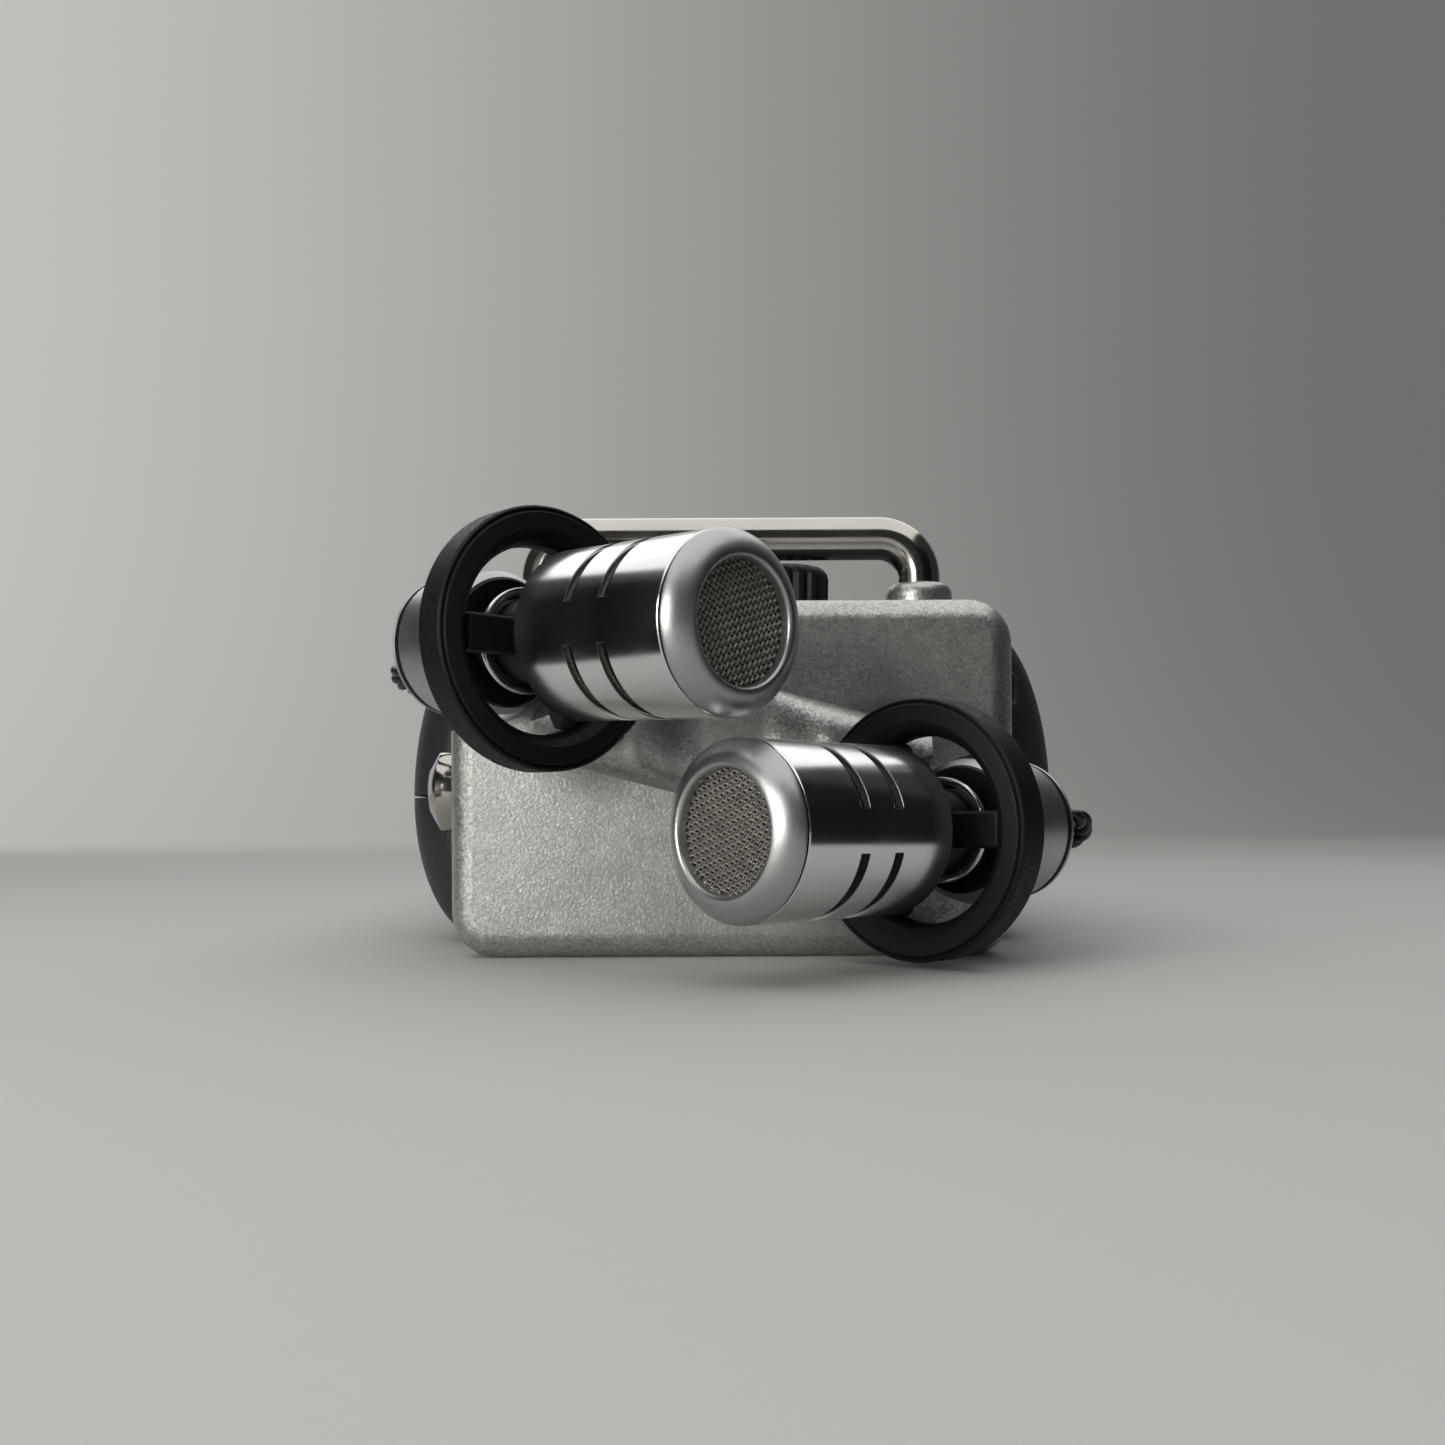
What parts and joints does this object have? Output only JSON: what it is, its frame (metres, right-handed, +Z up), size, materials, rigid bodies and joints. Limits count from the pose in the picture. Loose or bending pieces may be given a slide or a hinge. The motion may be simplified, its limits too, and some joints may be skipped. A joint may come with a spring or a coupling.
{
  "type": "handheld stereo audio recorder",
  "caption": "Handheld stereo audio recorder with crossed microphones in rubber suspension rings, a roll bar over two input dials, and combined input sockets.",
  "frame": {"origin": "centre of the bounding box at the resting plane, under the recorder lying on its back", "axes": "+Y along the recorder from the microphones to the input sockets, +Z up through the display, +X to the right of someone facing the microphones"},
  "size_m": [0.0688, 0.233, 0.0437],
  "materials": {
    "silver_paint": "satin silver paint with coarse metallic flake",
    "polished_metal": "polished",
    "satin_metal": "satin",
    "nickel": "dark bright nickel plating",
    "wire_mesh": "woven wire cloth",
    "black_rubber": "matt",
    "black_plastic": "soft matt moulding",
    "display_glass": "clear glossy window over a grey-green display",
    "red_key": "satin red",
    "circuit_board": "green solder mask",
    "cell_jacket": "printed jacket",
    "speaker_steel": "plain steel"
  },
  "bodies": {
    "main_unit": {"upper_shell": "black_plastic", "lower_shell": "black_plastic", "roll_bar": "nickel", "bar_foot_left": "silver_paint", "bar_foot_right": "silver_paint", "display_window": "display_glass", "display_module": "satin_metal", "input_socket_left": "black_plastic", "input_socket_right": "black_plastic", "phones_socket": "nickel", "main_board": "circuit_board", "capsule_connector": "satin_metal", "cell_left": "cell_jacket", "cell_right": "cell_jacket", "battery_contact_front": "nickel", "battery_contact_rear": "nickel", "tripod_nut": "satin_metal", "speaker": "speaker_steel", "memory_card": "black_plastic"},
    "capsule": {"capsule_shell": "silver_paint", "capsule_rear_cover": "black_plastic", "jack_nut": "nickel", "ring_left": "black_rubber", "ring_right": "black_rubber", "mic_left_lead": "black_rubber", "mic_right_lead": "black_rubber"},
    "mic_left": {"mic_left_barrel": "polished_metal", "mic_left_bezel": "satin_metal", "mic_left_grille": "wire_mesh", "mic_left_neck": "black_rubber", "mic_left_collar": "polished_metal", "mic_left_housing": "satin_metal", "mic_left_cap": "satin_metal"},
    "mic_right": {"mic_right_barrel": "polished_metal", "mic_right_bezel": "satin_metal", "mic_right_grille": "wire_mesh", "mic_right_neck": "black_rubber", "mic_right_collar": "polished_metal", "mic_right_housing": "satin_metal", "mic_right_cap": "satin_metal"},
    "mic_level_dial": {"mic_level_dial": "black_plastic"},
    "input_dial_left": {"input_dial_left": "black_plastic"},
    "input_dial_right": {"input_dial_right": "black_plastic"},
    "record_key": {"record_key": "red_key"},
    "stop_key": {"stop_key": "black_plastic"},
    "play_key": {"play_key": "black_plastic"},
    "rewind_key": {"rewind_key": "black_plastic"},
    "forward_key": {"forward_key": "black_plastic"},
    "track_key_1": {"track_key_1": "black_plastic"},
    "track_key_2": {"track_key_2": "black_plastic"},
    "track_key_3": {"track_key_3": "black_plastic"},
    "release_button_left": {"release_button_left": "black_plastic"},
    "release_button_right": {"release_button_right": "black_plastic"},
    "volume_rocker": {"volume_rocker": "black_plastic"},
    "power_slider": {"power_slider": "black_plastic"},
    "scroll_wheel": {"scroll_wheel": "black_plastic"},
    "socket_tab_left": {"socket_tab_left": "satin_metal"},
    "socket_tab_right": {"socket_tab_right": "satin_metal"},
    "battery_cover": {"battery_cover": "black_plastic"},
    "card_door": {"card_door": "black_rubber"}
  },
  "joints": [
    {"name": "capsule_release", "type": "slide", "parent": "main_unit", "child": "capsule", "axis": [0, -1, 0], "range_m": [0, 0.025]},
    {"name": "mic_left_sway", "type": "hinge", "parent": "capsule", "child": "mic_left", "pos_m": [-0.0146, -0.09693, 0.0272], "axis": [-0.7071, -0.7071, 0], "range_deg": [-1.5, 1.5], "stiffness_Nm_per_rad": 0.4},
    {"name": "mic_right_sway", "type": "hinge", "parent": "capsule", "child": "mic_right", "pos_m": [0.0146, -0.09693, 0.01135], "axis": [-0.7071, 0.7071, 0], "range_deg": [-1.5, 1.5], "stiffness_Nm_per_rad": 0.4},
    {"name": "mic_level_turn", "type": "hinge", "parent": "capsule", "child": "mic_level_dial", "pos_m": [0.0224, -0.07873, 0.0246], "axis": [0, 0, 1], "range_deg": [-150, 150]},
    {"name": "input_left_turn", "type": "hinge", "parent": "main_unit", "child": "input_dial_left", "pos_m": [-0.00575, -0.06053, 0.034], "axis": [0, 0, -1], "range_deg": [-150, 150]},
    {"name": "input_right_turn", "type": "hinge", "parent": "main_unit", "child": "input_dial_right", "pos_m": [0.00575, -0.06053, 0.034], "axis": [0, 0, -1], "range_deg": [-150, 150]},
    {"name": "scroll_turn", "type": "hinge", "parent": "main_unit", "child": "scroll_wheel", "pos_m": [0.0272, -0.02693, 0.0206], "axis": [0, 0, 1], "continuous": true},
    {"name": "record_press", "type": "slide", "parent": "main_unit", "child": "record_key", "axis": [0, 0, -1], "range_m": [0, 0.0005], "stiffness_N_per_m": 1500},
    {"name": "stop_press", "type": "slide", "parent": "main_unit", "child": "stop_key", "axis": [0, 0, -1], "range_m": [0, 0.0005], "stiffness_N_per_m": 1500},
    {"name": "play_press", "type": "slide", "parent": "main_unit", "child": "play_key", "axis": [0, 0, -1], "range_m": [0, 0.0005], "stiffness_N_per_m": 1500},
    {"name": "rewind_press", "type": "slide", "parent": "main_unit", "child": "rewind_key", "axis": [0, 0, -1], "range_m": [0, 0.0005], "stiffness_N_per_m": 1500},
    {"name": "forward_press", "type": "slide", "parent": "main_unit", "child": "forward_key", "axis": [0, 0, -1], "range_m": [0, 0.0005], "stiffness_N_per_m": 1500},
    {"name": "track_1_press", "type": "slide", "parent": "main_unit", "child": "track_key_1", "axis": [0, 0, -1], "range_m": [0, 0.0005], "stiffness_N_per_m": 1500},
    {"name": "track_2_press", "type": "slide", "parent": "main_unit", "child": "track_key_2", "axis": [0, 0, -1], "range_m": [0, 0.0005], "stiffness_N_per_m": 1500},
    {"name": "track_3_press", "type": "slide", "parent": "main_unit", "child": "track_key_3", "axis": [0, 0, -1], "range_m": [0, 0.0005], "stiffness_N_per_m": 1500},
    {"name": "release_button_left_press", "type": "slide", "parent": "main_unit", "child": "release_button_left", "axis": [1, 0, 0], "range_m": [0, 0.0009], "stiffness_N_per_m": 2000},
    {"name": "release_button_right_press", "type": "slide", "parent": "main_unit", "child": "release_button_right", "axis": [-1, 0, 0], "range_m": [0, 0.0009], "stiffness_N_per_m": 2000},
    {"name": "volume_rock", "type": "hinge", "parent": "main_unit", "child": "volume_rocker", "pos_m": [-0.031, 0.01707, 0.0204], "axis": [0, 0, 1], "range_deg": [-2.5, 2.5], "stiffness_Nm_per_rad": 0.15},
    {"name": "power_slide", "type": "slide", "parent": "main_unit", "child": "power_slider", "axis": [0, 1, 0], "range_m": [-0.0028, 0.0028]},
    {"name": "tab_left_press", "type": "slide", "parent": "main_unit", "child": "socket_tab_left", "axis": [0, 0, -1], "range_m": [0, 0.0008], "stiffness_N_per_m": 1500},
    {"name": "tab_right_press", "type": "slide", "parent": "main_unit", "child": "socket_tab_right", "axis": [0, 0, -1], "range_m": [0, 0.0008], "stiffness_N_per_m": 1500},
    {"name": "battery_cover_swing", "type": "hinge", "parent": "main_unit", "child": "battery_cover", "pos_m": [0, 0.07327, 0], "axis": [1, 0, 0], "range_deg": [0, 95]},
    {"name": "card_door_swing", "type": "hinge", "parent": "main_unit", "child": "card_door", "pos_m": [0.0324, 0.01107, 0.0172], "axis": [0, 1, 0], "range_deg": [0, 95]}
  ]
}
